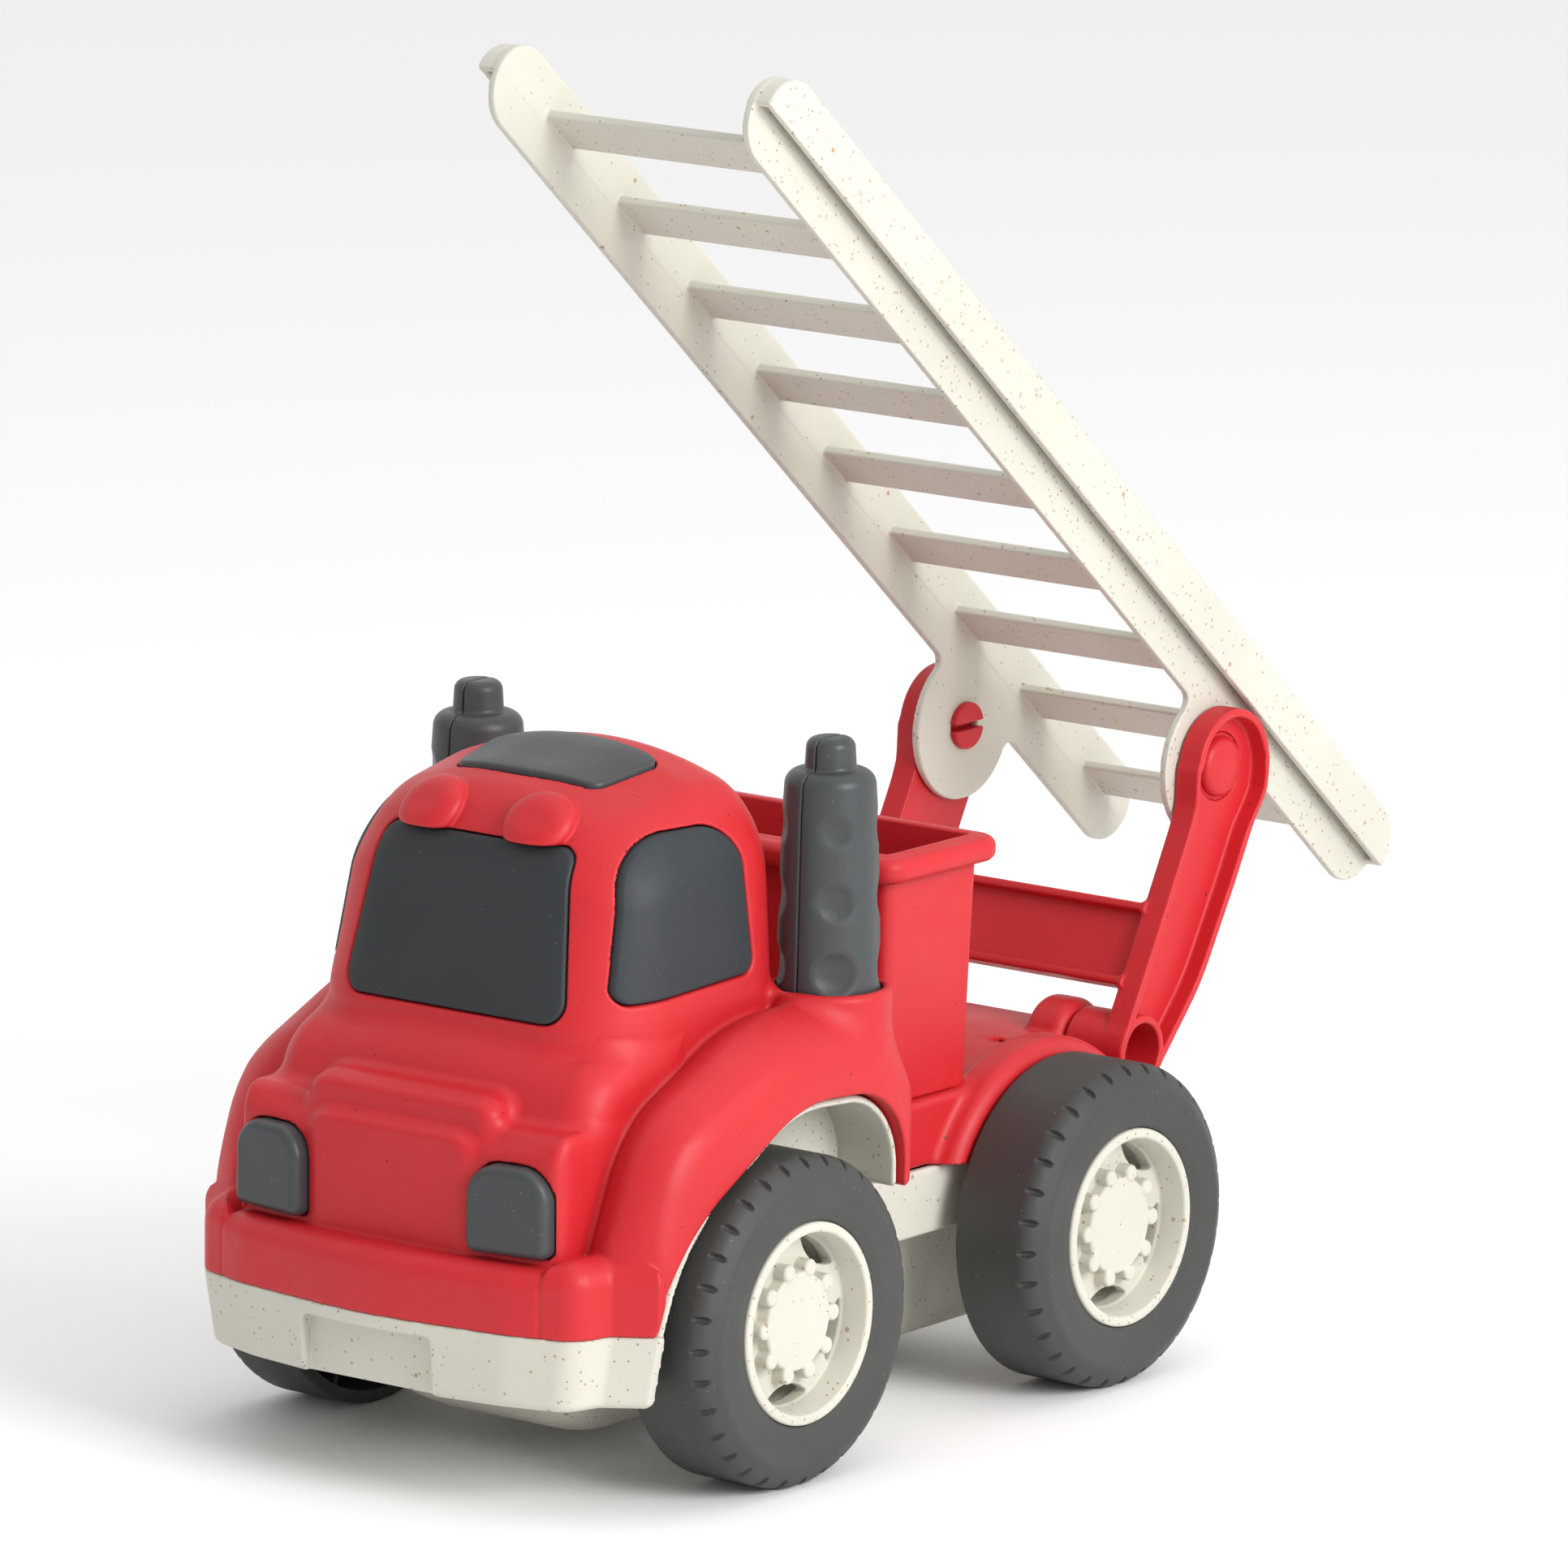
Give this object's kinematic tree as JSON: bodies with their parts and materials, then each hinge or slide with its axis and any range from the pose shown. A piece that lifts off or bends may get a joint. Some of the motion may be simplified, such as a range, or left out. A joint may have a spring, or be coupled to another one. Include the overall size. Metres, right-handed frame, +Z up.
{
  "type": "toy fire engine",
  "caption": "Toy fire engine with a rounded cab, twin exhaust stacks, open cargo bin, free-rolling wheels and a tilting ladder on a swinging boom.",
  "frame": {"origin": "on the ground, at the middle of the whole object's length and width", "axes": "+Z up, +X the engine's left side, the cab faces -Y and the ladder's foot is towards +Y"},
  "size_m": [0.148, 0.3357, 0.3125],
  "materials": {
    "red_plastic": "matt red moulded plastic with a few fine dark specks",
    "pale_plastic": "matt cream moulded plastic with fine tan fibre specks",
    "grey_plastic": "matt dark grey moulded plastic",
    "tyre_plastic": "matt dark grey moulded plastic tyre",
    "axle_steel": "drawn steel rod",
    "screw_steel": "zinc plated steel"
  },
  "bodies": {
    "root": {"chassis_pan": "pale_plastic", "cab_shell": "red_plastic", "deck_shell": "red_plastic", "cargo_bin": "red_plastic", "windscreen": "grey_plastic", "side_window_left": "grey_plastic", "side_window_right": "grey_plastic", "sunroof": "grey_plastic", "headlight_left": "grey_plastic", "headlight_right": "grey_plastic", "stack_left_outer": "grey_plastic", "stack_left_inner": "grey_plastic", "stack_right_outer": "grey_plastic", "stack_right_inner": "grey_plastic", "cab_screws": "screw_steel", "deck_screws": "screw_steel", "bin_screws": "screw_steel"},
    "front_wheels": {"front_axle": "axle_steel", "tyre_front_left": "tyre_plastic", "hub_front_left": "pale_plastic", "tyre_front_right": "tyre_plastic", "hub_front_right": "pale_plastic"},
    "rear_wheels": {"rear_axle": "axle_steel", "tyre_rear_left": "tyre_plastic", "hub_rear_left": "pale_plastic", "tyre_rear_right": "tyre_plastic", "hub_rear_right": "pale_plastic"},
    "boom": {"boom_frame": "red_plastic", "ladder_pin_left": "red_plastic", "ladder_pin_right": "red_plastic"},
    "ladder": {"ladder": "pale_plastic"}
  },
  "joints": [
    {"name": "front_axle_spin", "type": "hinge", "parent": "root", "child": "front_wheels", "pos_m": [0, -0.0985, 0.038], "axis": [1, 0, 0], "continuous": true},
    {"name": "rear_axle_spin", "type": "hinge", "parent": "root", "child": "rear_wheels", "pos_m": [0, 0.0225, 0.038], "axis": [1, 0, 0], "continuous": true},
    {"name": "boom_swing", "type": "hinge", "parent": "root", "child": "boom", "pos_m": [0, 0.0655, 0.068], "axis": [-1, 0, 0], "range_deg": [-14, 20]},
    {"name": "ladder_tilt", "type": "hinge", "parent": "boom", "child": "ladder", "pos_m": [0, 0.1005, 0.1302], "axis": [-1, 0, 0], "range_deg": [-20, 45]}
  ]
}
